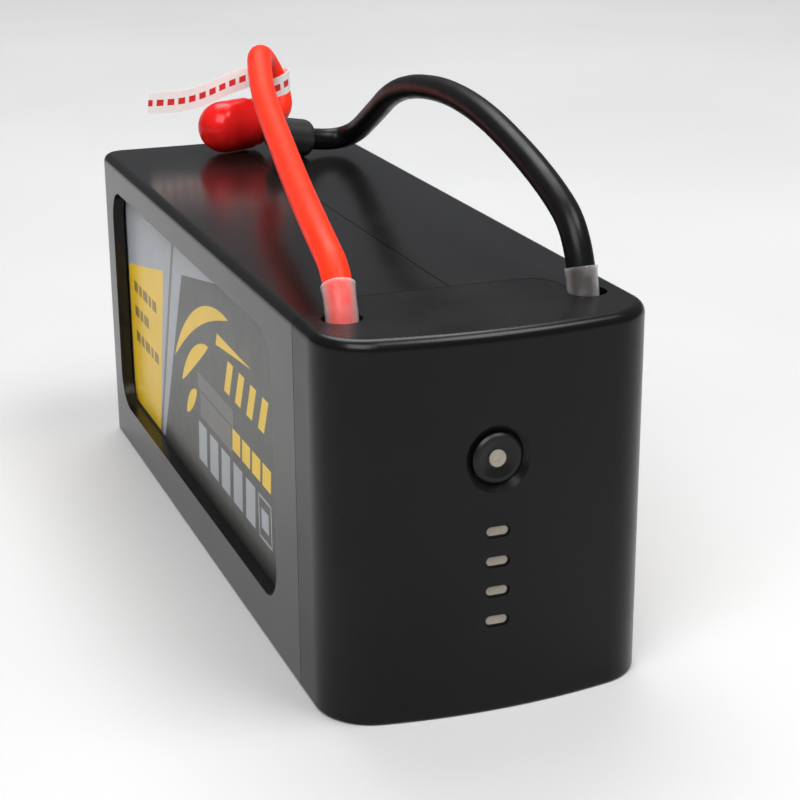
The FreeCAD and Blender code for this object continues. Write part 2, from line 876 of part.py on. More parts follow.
def shaped(name, shape):
    item = doc.addObject("Part::Feature", name)
    item.Shape = shape
    item.Placement = Placement()
    return item


def lead(name, route):
    radius = value("@lead_radius")
    edges, radii = tube_path(route)
    solid = swept(edges, radius)
    length = sum(edge.Length for edge in edges)
    ratio = solid.Volume / (math.pi * radius**2 * length)
    print(f"{name}: length {length:.1f} mm, volume ratio {ratio:.4f}, radii", [round(r, 1) for r in radii])
    node(shaped(name + "_tube", solid), name)
    return edges


def sleeve(name, edges, above):
    """Clear shrink sleeve on a lead's root: it follows the lead's first run and part of its bend."""
    first = edges[0]
    bend = edges[1].Curve
    low, high = edges[1].ParameterRange
    top = value(f"@case_height + {above}")
    share = 1.0
    while share > 0.1 and bend.value(low + (high - low) * share).z > top:
        share -= 0.02
    arc = Part.ArcOfCircle(bend, low, low + (high - low) * share).toShape()
    root = first.valueAt(first.FirstParameter + 0.55 * first.Length)
    run = Part.LineSegment(root, first.valueAt(first.LastParameter)).toShape()
    outer_tube = swept([run, arc], value("@sleeve_radius"))
    inner_tube = swept([run, arc], value("@lead_radius + 0.03"))
    node(shaped(name + "_tube", outer_tube.cut(inner_tube)), name)


red_edges = lead("red_lead", RED_ROUTE)
black_edges = lead("black_lead", BLACK_ROUTE)
sleeve("red_lead_sleeve", red_edges, "@red_sleeve_above")
sleeve("black_lead_sleeve", black_edges, "@black_sleeve_above")
node(lug("left", "-", str(RED_ROUTE[0][2])), "red_lead_lug")
node(lug("right", "", str(BLACK_ROUTE[0][2])), "black_lead_lug")

# ---------------------------------------------------------------- connectors on the leads

AT_AXIS = ("0", "0")


def along(route):
    """Placement at a route's end, its +Z in the direction in which the lead arrives."""
    end = Vector(*route[-1])
    ahead = end - Vector(*route[-2])
    ahead.normalize()
    return Placement(end, Rotation(Vector(0, 0, 1), ahead))


def bar(name, radius, start, end):
    return cylinder(name, str(radius), str(end - start), AT_AXIS + (str(start),))


def bullet(name, radius, start, tip):
    """A cylinder that ends in a half ball."""
    body = bar(name + "_bar", radius, start, tip - radius)
    ball = sphere(name + "_ball", str(radius), AT_AXIS + (str(tip - radius),))
    ball.Angle1 = 0
    return fuse(name, [body, ball])


def set_down(item, placement, label):
    item.Placement = placement
    return node(item, label)


def red_connector():
    """Bullet plug: a moulded housing, its gold contact, and the clear red cap pushed over both."""
    where = along(RED_ROUTE)
    collar = bar("red_collar", 6.6, 0, 2.4)
    barrel = bar("red_barrel", 6.2, 2.0, 9.4)
    chamber = bar("red_chamber", 4.25, 2.2, 11.0)
    housing = cut("red_housing", fuse("red_housing_joined", [collar, barrel]), [chamber])
    set_down(housing, where, "red_connector_housing")
    socket = bar("red_socket", 4.2, 2.25, 10.2)
    pin = bullet("red_pin", 3.4, 9.8, 14.4)
    set_down(fuse("red_contact", [socket, pin]), where, "red_connector_contact")
    skin = bullet("red_cap_skin", 7.15, 2.9, 18.1)
    mouth = bar("red_cap_mouth", 6.25, 2.0, 10.4)
    throat = bullet("red_cap_throat", 4.6, 9.9, 16.6)
    set_down(cut("red_cap", skin, [mouth, throat]), where, "red_connector_cap")


def black_connector():
    """Bullet plug: a round-shouldered housing, its gold contact, and a narrow cap on its nose."""
    where = along(BLACK_ROUTE)
    body = rounded("black_body", bar("black_barrel", 5.2, 0, 9.4), 2.3, lambda a, b: near(a.z, 0))
    chamber = bar("black_chamber", 3.4, 2.2, 10.4)
    set_down(cut("black_housing", body, [chamber]), where, "black_connector_housing")
    set_down(bullet("black_contact", 3.35, 2.25, 12.0), where, "black_connector_contact")
    skin = bullet("black_cap_skin", 4.3, 9.45, 13.9)
    throat = bullet("black_cap_throat", 3.55, 9.0, 13.1)
    set_down(cut("black_cap", skin, [throat]), where, "black_connector_cap")


TAG_CENTRE = (15.4, 98.4)
TAG_LOW = 95.6
TAG_TALL = 6.0
TAG_FLAG_LENGTH = 38.0
TAG_SHEET = 0.2
TAG_BORE = 3.8
TAG_TURN = 184
TAG_SLOPE = 11


def warning_tag():
    """Paper strip: one turn round the red lead's drop, and a flag that hangs off to the left."""
    x, y = TAG_CENTRE
    outer_radius = TAG_BORE + TAG_SHEET
    turn = cylinder("tag_turn", str(outer_radius), str(TAG_TALL), (str(x), str(y), str(TAG_LOW)))
    bore = cylinder("tag_bore", str(TAG_BORE), str(TAG_TALL + 2), (str(x), str(y), str(TAG_LOW - 1)))
    flag = doc.addObject("Part::Box", "tag_flag")
    flag.Length = TAG_FLAG_LENGTH
    flag.Width = TAG_SHEET
    flag.Height = TAG_TALL
    towards_left = Rotation(Vector(0, 0, 1), TAG_TURN)
    downwards = Rotation(Vector(0, 1, 0), TAG_SLOPE)
    start = Vector(x, y + outer_radius, TAG_LOW)
    flag.Placement = Placement(start, towards_left * downwards)
    node(fuse("tag_solid", [cut("tag_ring", turn, [bore]), flag]), "warning_tag")


red_connector()
black_connector()
warning_tag()

# ---------------------------------------------------------------- checking and writing


def write_nodes():
    doc.recompute()
    for item in doc.Objects:
        if "Invalid" in item.State or "Error" in item.State:
            raise SystemExit(f"{item.Name} failed: {item.State}")
    os.makedirs("parts", exist_ok=True)
    labels = [item.Label for item in NODES]
    if len(set(labels)) != len(labels):
        raise SystemExit("two sub-parts share a label")
    for item in NODES:
        shape = item.Shape
        if shape.isNull() or not shape.isValid() or not shape.Solids:
            raise SystemExit(f"{item.Label} has no valid solid")
        shape.exportStep(f"parts/{item.Label}.step")
        print(f"{item.Label}: {len(shape.Solids)} solid(s), {shape.Volume:.1f} mm3")


write_nodes()
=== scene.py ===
"""Looks of a LiPo battery pack: camera and light, the two leads with their connectors, the printed
labels and the finish of every CAD piece. Metres, in the CAD frame."""
import json
import math

import bmesh
import bpy
from mathutils import Matrix, Vector


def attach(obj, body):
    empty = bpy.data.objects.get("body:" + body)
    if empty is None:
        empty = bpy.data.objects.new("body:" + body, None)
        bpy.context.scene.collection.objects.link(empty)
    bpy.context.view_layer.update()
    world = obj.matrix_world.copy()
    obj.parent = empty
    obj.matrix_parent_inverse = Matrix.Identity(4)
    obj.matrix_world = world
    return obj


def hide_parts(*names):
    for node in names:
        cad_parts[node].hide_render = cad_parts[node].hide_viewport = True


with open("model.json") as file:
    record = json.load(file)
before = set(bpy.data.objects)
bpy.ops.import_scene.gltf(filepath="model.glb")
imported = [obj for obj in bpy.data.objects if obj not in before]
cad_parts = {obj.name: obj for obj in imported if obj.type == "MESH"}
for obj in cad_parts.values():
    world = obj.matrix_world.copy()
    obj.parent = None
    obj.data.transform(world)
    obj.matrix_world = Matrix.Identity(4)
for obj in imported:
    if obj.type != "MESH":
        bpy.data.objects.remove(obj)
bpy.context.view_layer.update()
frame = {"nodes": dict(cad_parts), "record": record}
MM = 0.001
scene = bpy.context.scene

# ---------------------------------------------------------------- camera

CAMERA_AT = Vector((-0.1417, -0.4210, 0.1874))
CAMERA_YAW = math.radians(20.551)
CAMERA_PITCH = math.radians(18.936)
CAMERA_ROLL = math.radians(-0.372)
CAMERA_LENS = 84.52
CAMERA_SENSOR = 36
CAMERA_NEAREST = 0.01


def add_camera():
    """Looks from the front left and a little above; yaw turns from +Y towards +X."""
    level = math.cos(CAMERA_PITCH)
    ahead = Vector(
        (math.sin(CAMERA_YAW) * level, math.cos(CAMERA_YAW) * level, -math.sin(CAMERA_PITCH))
    )
    right = Vector((math.cos(CAMERA_YAW), -math.sin(CAMERA_YAW), 0))
    up = right.cross(ahead)
    rolled_right = right * math.cos(CAMERA_ROLL) + up * math.sin(CAMERA_ROLL)
    rolled_up = rolled_right.cross(ahead)
    data = bpy.data.cameras.new("camera")
    data.lens = CAMERA_LENS
    data.sensor_width = CAMERA_SENSOR
    data.clip_start = CAMERA_NEAREST
    camera = bpy.data.objects.new("camera", data)
    turn = Matrix((rolled_right, rolled_up, -ahead)).transposed()
    camera.matrix_world = Matrix.Translation(CAMERA_AT) @ turn.to_4x4()
    scene.collection.objects.link(camera)
    scene.camera = camera


add_camera()

# ---------------------------------------------------------------- leads: routes shared with the CAD

LEAD_RADIUS = 3.15 * MM
RED_ROUTE = [
    (-26.5, -82.3, 65.5),
    (-26.4, -82.9, 88.0),
    (-23.4, -55.5, 94.3),
    (-16.1, -19.0, 96.0),
    (-9.0, 15.0, 98.2),
    (-2.3, 49.0, 101.3),
    (2.7, 70.5, 104.5),
    (9.6, 95.3, 109.0),
    (16.6, 100.0, 97.7),
    (15.6, 93.8, 89.4),
    (5.9, 89.5, 89.4),
]
BLACK_ROUTE = [
    (26.5, -82.3, 72.0),
    (26.5, -81.9, 91.7),
    (26.2, -61.0, 102.9),
    (26.8, -16.3, 112.6),
    (28.0, 29.4, 108.3),
    (29.2, 57.2, 94.2),
    (29.3, 70.3, 87.6),
    (23.7, 74.6, 85.4),
    (16.9, 73.1, 86.7),
]
# a lead's radius at its root and at its connector, as shares of the nominal one
RED_ENDS = (0.95, 1.13)
BLACK_ENDS = (0.97, 0.94)
LEAD_ROUNDNESS = 8
LEAD_STEPS = 24


def route_curve(name, route, steps=LEAD_STEPS):
    """An open NURBS spline that has the route's points, in millimetres, as its control points."""
    data = bpy.data.curves.new(name, "CURVE")
    data.dimensions = "3D"
    data.resolution_u = steps
    spline = data.splines.new("NURBS")
    spline.points.add(len(route) - 1)
    for point, place in zip(spline.points, route):
        point.co = (*[part * MM for part in place], 1)
    spline.order_u = 3
    spline.use_endpoint_u = True
    return data


def line_points(route, steps=LEAD_STEPS):
    """Points along a route's smooth line, read back from its spline."""
    data = route_curve("line", route, steps)
    probe = bpy.data.objects.new("line", data)
    scene.collection.objects.link(probe)
    mesh = bpy.data.meshes.new_from_object(probe)
    points = [vertex.co.copy() for vertex in mesh.vertices]
    bpy.data.objects.remove(probe)
    bpy.data.curves.remove(data)
    bpy.data.meshes.remove(mesh)
    return points


def lead(name, route, ends):
    """A lead's tube, whose thickness changes evenly from its root to its connector."""
    data = route_curve(name, route)
    data.bevel_depth = LEAD_RADIUS
    points = data.splines[0].points
    for number, point in enumerate(points):
        point.radius = ends[0] + (ends[1] - ends[0]) * number / (len(points) - 1)
    data.bevel_resolution = LEAD_ROUNDNESS
    data.use_fill_caps = True
    piece = bpy.data.objects.new(name, data)
    scene.collection.objects.link(piece)
    return piece


red_line = line_points(RED_ROUTE)
black_line = line_points(BLACK_ROUTE)
red_lead = lead("red_lead_silicone", RED_ROUTE, RED_ENDS)
black_lead = lead("black_lead_silicone", BLACK_ROUTE, BLACK_ENDS)

# ---------------------------------------------------------------- sleeves on the leads' roots

SLEEVE_FOOT = 76 * MM
ROOF = 82 * MM
SLEEVE_FACETS = 48
SLEEVE_FILM = 0.16 * MM
SLEEVE_WAVE = 0.05 * MM
SLEEVE_FLARE = 2.2


def mesh_piece(name, vertices, faces):
    mesh = bpy.data.meshes.new(name)
    mesh.from_pydata([tuple(vertex) for vertex in vertices], [], faces)
    piece = bpy.data.objects.new(name, mesh)
    scene.collection.objects.link(piece)
    return piece


def bridge(ring_count, ring_size, closed):
    """Quads between neighbouring rings; closed joins the last ring to the first."""
    faces = []
    for ring in range(ring_count if closed else ring_count - 1):
        here, there = ring * ring_size, (ring + 1) % ring_count * ring_size
        for number in range(ring_size):
            after = (number + 1) % ring_size
            faces.append((here + number, here + after, there + after, there + number))
    return faces


def ring_round(centre, ahead, radius, count, ripple):
    """Points of a circle round a line; ripple changes the radius with the angle."""
    side = ahead.cross(Vector((0, 1, 0))).normalized()
    other = side.cross(ahead).normalized()
    points = []
    for number in range(count):
        angle = math.tau * number / count
        reach = radius + ripple(angle)
        points.append(centre + (side * math.cos(angle) + other * math.sin(angle)) * reach)
    return points


def part_of_line(points, low, high):
    """The stretch of a line, from its start on, between two heights."""
    kept = []
    for point in points:
        if point.z > high:
            break
        if point.z >= low:
            kept.append(point)
    return kept


def flared_sleeve(name, line, top, lead_radius, waist, rim):
    """Shrink sleeve: hugs the lead, is pinched half way up and stands off it a little at the rim."""
    run = part_of_line(line, SLEEVE_FOOT, top)
    outer, inner = [], []
    last = len(run) - 1
    for number, centre in enumerate(run):
        ahead = (run[min(number + 1, last)] - run[max(number - 1, 0)]).normalized()
        share = max(0.0, (centre.z - ROOF) / (top - ROOF))
        wave = SLEEVE_WAVE * math.cos(share * math.tau)
        radius = waist + (rim - waist) * share**SLEEVE_FLARE + wave
        hollow = max(radius - SLEEVE_FILM, lead_radius)

        def ripple(angle, share=share):
            return SLEEVE_WAVE * math.sin(3 * angle + 4 * share) * share

        outer.append(ring_round(centre, ahead, radius, SLEEVE_FACETS, ripple))
        inner.append(ring_round(centre, ahead, hollow, SLEEVE_FACETS, ripple))
    rings = outer + inner[::-1]
    points = [point for ring in rings for point in ring]
    piece = mesh_piece(name, points, bridge(len(rings), SLEEVE_FACETS, True))
    piece.data.shade_smooth()
    return piece


red_sleeve = flared_sleeve(
    "red_sleeve_film",
    red_line,
    top=87.7 * MM,
    lead_radius=3.02 * MM,
    waist=3.36 * MM,
    rim=3.62 * MM,
)
black_sleeve = flared_sleeve(
    "black_sleeve_film",
    black_line,
    top=87.4 * MM,
    lead_radius=3.08 * MM,
    waist=3.34 * MM,
    rim=3.58 * MM,
)

# ---------------------------------------------------------------- paper tag

TAG_HALF_WIDTH = 3.0 * MM
TAG_SHEET = 0.14 * MM
TAG_RADIUS = 3.95 * MM
TAG_WRAP_AT = Vector((0.0153, 0.0982, 0.0978))
TAG_FLAG = [
    (11.0, 101.3, 100.8),
    (4.0, 101.2, 99.3),
    (-4.5, 100.6, 96.2),
    (-10.5, 100.0, 94.9),
    (-16.5, 99.7, 94.7),
    (-22.0, 99.4, 94.9),
]
TAG_FLAG_STEPS = 12
TAG_FLAG_LEAN = -0.15
TURN_STEPS = 40
TURN_START = -70
TURN_SWEEP = 400
TURN_SWAY = 1.6 * MM
TURN_CLIMB = 0.4 * MM
TURN_GROWTH = 0.22 * MM
EDGE_SQUARING = 0.3
CENTIMETRES = 100


def tag_line():
    """The middle line of the turn round the lead; it sways up and down and overlaps its start."""
    steps = []
    last = TURN_STEPS - 1
    for number in range(TURN_STEPS):
        angle = math.radians(TURN_START + TURN_SWEEP * number / last)
        around = Vector((math.cos(angle), math.sin(angle), 0))
        climb = TURN_SWAY * math.cos(angle) + (number / last - 0.5) * TURN_CLIMB
        grow = TAG_RADIUS + TURN_GROWTH * number / last
        steps.append(TAG_WRAP_AT + around * grow + Vector((0, 0, climb)))
    return steps


def strip(name, middle, lean):
    """A band of the tag's paper along a line, its width upright apart from the given lean."""
    rings = []
    last = len(middle) - 1
    travelled = 0.0
    along = []
    for number, centre in enumerate(middle):
        ahead = (middle[min(number + 1, last)] - middle[max(number - 1, 0)]).normalized()
        up = (Vector((0, 0, 1)) + ahead * lean).normalized()
        up = (up - ahead * up.dot(ahead) * EDGE_SQUARING).normalized()
        out = ahead.cross(up).normalized() * (TAG_SHEET / 2)
        low, high = centre - up * TAG_HALF_WIDTH, centre + up * TAG_HALF_WIDTH
        rings.append([low - out, high - out, high + out, low + out])
        if number:
            travelled += (centre - middle[number - 1]).length
        along.append(travelled)
    points = [point for ring in rings for point in ring]
    faces = bridge(len(rings), 4, False)
    end = (len(rings) - 1) * 4
    faces += [(3, 2, 1, 0), (end, end + 1, end + 2, end + 3)]
    piece = mesh_piece(name, points, faces)
    map_strip(piece, along)
    return piece


def map_strip(piece, along):
    """UV: u is the way along the strip in centimetres, v runs from 0 to 1 across it."""
    layer = piece.data.uv_layers.new(name="strip")
    for loop in piece.data.loops:
        ring, corner = divmod(loop.vertex_index, 4)
        layer.data[loop.index].uv = (along[ring] * CENTIMETRES, 1.0 if corner in (1, 2) else 0.0)


tag_wrap = strip("tag_wrap_paper", tag_line(), 0.0)
tag_flag = strip("tag_flag_paper", line_points(TAG_FLAG, TAG_FLAG_STEPS), TAG_FLAG_LEAN)

# ---------------------------------------------------------------- printed label

LABEL_FACE = 32.33 * MM
# from here on the prints' points (along, up) and heights are in millimetres
INK_REAR = 88.6
INK_TOP = 73.4
INK_FLOOR = 11.9
INK_FILM = 0.003
WINDOW_FRONT = -62
WINDOW_REAR = 89
WINDOW_MIDDLE = (WINDOW_REAR + WINDOW_FRONT) / 2
BLADE_STEPS = 14
BLADE_FULLNESS = 0.7
# heights of the prints over the label's face, each clear of the one under it
FIRST_PRINT = 0.002
SECOND_PRINT = 0.006
THIRD_PRINT = 0.010


def slanted(front, low, rear, high, lean):
    """A block from front to rear and low to high, leaning to the rear at its foot."""
    drop = (high - low) * lean
    return [(front + drop, low), (rear + drop, low), (rear, high), (front, high)]


def ink(name, shapes, lift):
    """Printed areas on both labels: thin plates, mirrored so that each side reads the same way."""
    near_face, far_face = LABEL_FACE + lift * MM, LABEL_FACE + (lift + INK_FILM) * MM
    vertices, faces = [], []
    for sign in (-1, 1):
        for shape in shapes:
            start, count = len(vertices), len(shape)
            for x in (near_face, far_face):
                for y, z in shape:
                    run = y if sign < 0 else 2 * WINDOW_MIDDLE - y
                    vertices.append((sign * x, run * MM, z * MM))
            lower = list(range(start, start + count))
            upper = list(range(start + count, start + 2 * count))
            faces.append(tuple(lower[::-1]))
            faces.append(tuple(upper))
            for number in range(count):
                after = (number + 1) % count
                faces.append((lower[number], lower[after], upper[after], upper[number]))
    piece = mesh_piece(name, vertices, faces)
    form = bmesh.new()
    form.from_mesh(piece.data)
    bmesh.ops.recalc_face_normals(form, faces=form.faces)
    form.to_mesh(piece.data)
    form.free()
    return piece


def arc_blade(centre, reach, start, end, thick):
    """A curved blade, thick in the middle and pointed at both ends."""
    outside, inside = [], []
    for number in range(BLADE_STEPS + 1):
        share = number / BLADE_STEPS
        angle = math.radians(start + (end - start) * share)
        half = thick / 2 * math.sin(math.pi * share) ** BLADE_FULLNESS
        across, up = math.cos(angle), math.sin(angle)
        far, near = reach + half, reach - half
        outside.append((centre[0] + far * across, centre[1] + far * up))
        if 0 < number < BLADE_STEPS:
            inside.append((centre[0] + near * across, centre[1] + near * up))
    return outside + inside[::-1]


SILVER_FIELD = [
    (INK_REAR, INK_FLOOR),
    (INK_REAR, INK_TOP),
    (-24, INK_TOP),
    (27, 64),
    (53.5, INK_FLOOR),
]
YELLOW_FIELD = [(INK_REAR, INK_FLOOR), (INK_REAR, 52), (47, 60), (58.5, INK_FLOOR)]
BAND = [(58.6, INK_FLOOR), (35.0, INK_TOP), (32.6, INK_TOP), (56.6, INK_FLOOR)]
GREY_PANEL = [(13, 31), (13, 37.4), (-15.5, 37.4), (-15.5, 31)]
GREY_BAR = [(14.5, 38), (14.5, 42.2), (-17.5, 42.2), (-17.5, 38)]


def yellow_marks():
    """Three nested arcs, a spike and rows of leaning blocks."""
    middle = (-22, -22)
    marks = [
        arc_blade(middle, 86, 46, 86, 4.4),
        arc_blade(middle, 78, 47, 71, 4.4),
        arc_blade(middle, 70, 45, 57, 4.0),
    ]
    marks.append([(-4, 54.6), (-5.5, 57.8), (-34, 57.4), (-12, 55.4)])
    for number in range(4):
        front = -14.5 - 9.4 * number
        marks.append(slanted(front - 4.6, 45.0, front, 53.6, 0.5))
    for number in range(4):
        front = -16.5 - 8.2 * number
        marks.append(slanted(front - 6.6, 32.0, front, 37.6, 0.12))
    return marks


def upright(front, low, rear, high):
    return [(front, low), (rear, low), (rear, high), (front, high)]


def silver_blocks():
    """Five leaning blocks, then a framed square built from four thin bars and a filled middle."""
    blocks = []
    for number in range(5):
        rear = 15.5 - 10.6 * number
        blocks.append(slanted(rear - 7.6, 18.5, rear, 29.0, 0.09))
    blocks.append(upright(-47.0, 18.2, -46.4, 29))
    blocks.append(upright(-37.4, 18.2, -36.8, 29))
    blocks.append(upright(-47.0, 28.4, -36.8, 29))
    blocks.append(upright(-47.0, 18.2, -36.8, 18.8))
    blocks.append(upright(-44.6, 21.0, -39.0, 26.0))
    return blocks


BAR_ROWS = ((45.6, 83, 60), (38.4, 83, 66), (31.0, 83, 59))
BAR_LENGTHS = (4.6, 3.2, 5.4, 2.6)
BAR_HEIGHT = 3.0
BAR_GAP = 1.4


def field_bars():
    """Rows of short bars on the yellow field."""
    bars = []
    for level, start, end in BAR_ROWS:
        spot = start
        number = 0
        while spot > end:
            long = BAR_LENGTHS[number % len(BAR_LENGTHS)]
            bars.append(upright(spot - long, level, spot, level + BAR_HEIGHT))
            spot -= long + BAR_GAP
            number += 1
    return bars


ink_silver = ink("label_silver_ink", [SILVER_FIELD], FIRST_PRINT)
ink_yellow_field = ink("label_yellow_field", [YELLOW_FIELD], SECOND_PRINT)
ink_band = ink("label_band_ink", [BAND], SECOND_PRINT)
ink_yellow = ink("label_yellow_marks", yellow_marks(), FIRST_PRINT)
ink_grey = ink("label_grey_ink", [GREY_PANEL, GREY_BAR], FIRST_PRINT)
ink_blocks = ink("label_silver_blocks", silver_blocks(), FIRST_PRINT)
ink_bars = ink("label_bars_ink", field_bars(), THIRD_PRINT)

# ---------------------------------------------------------------- materials


class Shader:
    """A Principled material and short ways to feed its sockets."""

    def __init__(self, name, colour, roughness, **uniform):
        self.material = bpy.data.materials.new(name)
        self.material.use_nodes = True
        self.tree = self.material.node_tree
        self.main = self.tree.nodes["Principled BSDF"]
        self.main.inputs["Base Color"].default_value = (*colour, 1)
        self.main.inputs["Roughness"].default_value = roughness
        for key, setting in uniform.items():
            self.main.inputs[key.replace("_", " ").title().replace("Ior", "IOR")].default_value = setting
        self.coordinates = self.tree.nodes.new("ShaderNodeTexCoord").outputs["Object"]

    def node(self, kind, **settings):
        made = self.tree.nodes.new("ShaderNode" + kind)
        for key, setting in settings.items():
            setattr(made, key, setting)
        return made

    def link(self, output, target):
        self.tree.links.new(output, target)

    def noise(self, size, detail=3.0):
        """Noise whose blotches are about size metres across."""
        made = self.node("TexNoise")
        made.inputs["Scale"].default_value = 1 / size
        made.inputs["Detail"].default_value = detail
        self.link(self.coordinates, made.inputs["Vector"])
        return made.outputs["Fac"]

    def ranged(self, source, low, high, start=0.3, end=0.7):
        made = self.node("MapRange")
        made.inputs["From Min"].default_value = start
        made.inputs["From Max"].default_value = end
        made.inputs["To Min"].default_value = low
        made.inputs["To Max"].default_value = high
        self.link(source, made.inputs["Value"])
        return made.outputs["Result"]

    def colours(self, source, first, second, start=0.35, end=0.65):
        """Base colour that runs from first to second as the source rises from start to end."""
        made = self.node("ValToRGB")
        made.color_ramp.elements[0].position = start
        made.color_ramp.elements[1].position = end
        made.color_ramp.elements[0].color = (*first, 1)
        made.color_ramp.elements[1].color = (*second, 1)
        self.link(source, made.inputs["Fac"])
        self.link(made.outputs["Color"], self.main.inputs["Base Color"])
        return self

    def rough(self, source, low, high):
        self.link(self.ranged(source, low, high), self.main.inputs["Roughness"])
        return self

    def bump(self, source, height, strength):
        made = self.node("Bump")
        made.inputs["Distance"].default_value = height
        made.inputs["Strength"].default_value = strength
        self.link(source, made.inputs["Height"])
        self.link(made.outputs["Normal"], self.main.inputs["Normal"])
        return self

    def see_through(self, tint):
        made = self.node("BsdfTransparent")
        made.inputs["Color"].default_value = (*tint, 1)
        return made

    def blend(self, share, first, second):
        """A surface that runs from the first shader to the second as share rises from 0 to 1."""
        made = self.node("MixShader")
        self.link(share, made.inputs["Fac"])
        self.link(first.outputs["BSDF"], made.inputs[1])
        self.link(second.outputs["BSDF"], made.inputs[2])
        self.link(made.outputs["Shader"], self.tree.nodes["Material Output"].inputs["Surface"])


def black_plastic(name, shade, low, high, grain=0.22 * MM, shine=0.5):
    """Satin moulded plastic: fine spark-eroded grain, handling marks in its gloss."""
    shader = Shader(name, (shade,) * 3, 0.3, specular_ior_level=shine)
    shader.colours(shader.noise(30 * MM), (shade * 0.85,) * 3, (shade * 1.15,) * 3)
    shader.rough(shader.noise(14 * MM, 5.0), low, high)
    shader.bump(shader.noise(grain, 2.0), 0.003 * MM, 0.4)
    return shader.material


def metal(name, colour, roughness):
    """Bare metal: darker blotches, uneven gloss and a fine grain."""
    shader = Shader(name, colour, roughness, metallic=1.0)
    darker = tuple(part * 0.75 for part in colour)
    shader.colours(shader.noise(3 * MM, 4.0), darker, colour)
    shader.rough(shader.noise(1.5 * MM, 4.0), roughness * 0.8, roughness * 1.4)
    shader.bump(shader.noise(0.3 * MM), 0.006 * MM, 0.4)
    return shader.material


def moulded(name, colour, roughness, **uniform):
    """Moulded or pressed parts: darker blotches, uneven gloss and a fine grain."""
    shader = Shader(name, colour, roughness, **uniform)
    darker = tuple(part * 0.8 for part in colour)
    shader.colours(shader.noise(6 * MM, 4.0), darker, colour)
    shader.rough(shader.noise(4 * MM, 4.0), roughness * 0.85, roughness * 1.2)
    shader.bump(shader.noise(0.3 * MM), 0.004 * MM, 0.4)
    return shader.material


def silicone(name, colour, shadow, roughness, **uniform):
    """Extruded silicone: clouded tone and gloss, and a fine uneven skin."""
    shader = Shader(name, colour, roughness, **uniform)
    shader.colours(shader.noise(9 * MM, 4.0), shadow, colour)
    shader.rough(shader.noise(5 * MM, 6.0), roughness * 0.85, roughness * 1.2)
    shader.bump(shader.noise(0.35 * MM, 4.0), 0.008 * MM, 0.5)
    return shader.material


def clear_sheet(name, tint, roughness, least, most):
    """Thin clear plastic: see-through, with a mirror coat that grows at glancing angles."""
    shader = Shader(name, tint, roughness)
    mirror = shader.node("BsdfGlossy")
    mirror.inputs["Color"].default_value = (1, 1, 1, 1)
    mirror.inputs["Roughness"].default_value = roughness
    facing = shader.node("LayerWeight")
    facing.inputs["Blend"].default_value = 0.5
    steep = shader.node("Math", operation="POWER")
    steep.inputs[1].default_value = 5
    shader.link(facing.outputs["Facing"], steep.inputs[0])
    share = shader.ranged(steep.outputs["Value"], least, most, 0, 1)
    shader.blend(share, shader.see_through(tint), mirror)
    shader.tree.nodes.remove(shader.main)
    return shader.material


def milky_film(name, tint, milk, roughness):
    """Shrink film: clear with a milky share that grows at its edges and in blotches."""
    shader = Shader(name, milk, roughness, ior=1.45)
    shader.colours(shader.noise(2.5 * MM, 3.0), milk, tuple(min(1, part * 1.15) for part in milk))
    facing = shader.node("LayerWeight")
    facing.inputs["Blend"].default_value = 0.35
    blotch = shader.ranged(shader.noise(3.5 * MM, 1.0), 0.0, 0.06, 0.45, 0.7)
    share = shader.node("Math", operation="ADD", use_clamp=True)
    edge = shader.ranged(facing.outputs["Facing"], 0.07, 0.6, 0.1, 0.9)
    shader.link(edge, share.inputs[0])
    shader.link(blotch, share.inputs[1])
    shader.blend(share.outputs["Value"], shader.see_through(tint), shader.main)
    return shader.material


def printed(name, colour):
    """Smooth ink under a clear cover: slight clouding in its tone and gloss."""
    roughness = 0.38
    shader = Shader(name, colour, roughness, specular_ior_level=0.3)
    shader.colours(shader.noise(12 * MM, 3.0), tuple(part * 0.93 for part in colour), colour)
    shader.rough(shader.noise(5 * MM, 2.0), roughness * 0.95, roughness * 1.1)
    return shader.material


def tinted_clear(name, colour, tint, solid_share, roughness):
    """Coloured clear plastic: mostly its own colour, with a share of what lies behind it."""
    shader = Shader(name, colour, roughness, specular_ior_level=0.22)
    shader.colours(shader.noise(5 * MM, 3.0), tuple(part * 0.85 for part in colour), colour)
    share = shader.ranged(shader.noise(4 * MM, 2.0), solid_share - 0.05, solid_share + 0.05)
    shader.blend(share, shader.see_through(tint), shader.main)
    return shader.material


PAPER_WHITE = (0.8, 0.79, 0.77)
PAPER_RED = (0.6, 0.02, 0.02)
DASH_PITCH = 0.16


def printed_paper(name):
    """White paper with a broken red line along its middle; the dashes' pitch is in centimetres."""
    shader = Shader(name, PAPER_WHITE, 0.6)
    place = shader.node("UVMap", uv_map="strip")
    split = shader.node("SeparateXYZ")
    shader.link(place.outputs["UV"], split.inputs["Vector"])
    wave = shader.node("Math", operation="PINGPONG")
    wave.inputs[1].default_value = DASH_PITCH
    shader.link(split.outputs["X"], wave.inputs[0])
    dash = shader.ranged(wave.outputs["Value"], 0, 1, 0.055, 0.06)
    middle = shader.node("Math", operation="PINGPONG")
    middle.inputs[1].default_value = 0.5
    shader.link(split.outputs["Y"], middle.inputs[0])
    row = shader.ranged(middle.outputs["Value"], 0, 1, 0.34, 0.36)
    both = shader.node("Math", operation="MULTIPLY")
    shader.link(dash, both.inputs[0])
    shader.link(row, both.inputs[1])
    return shader.colours(both.outputs["Value"], PAPER_WHITE, PAPER_RED).material


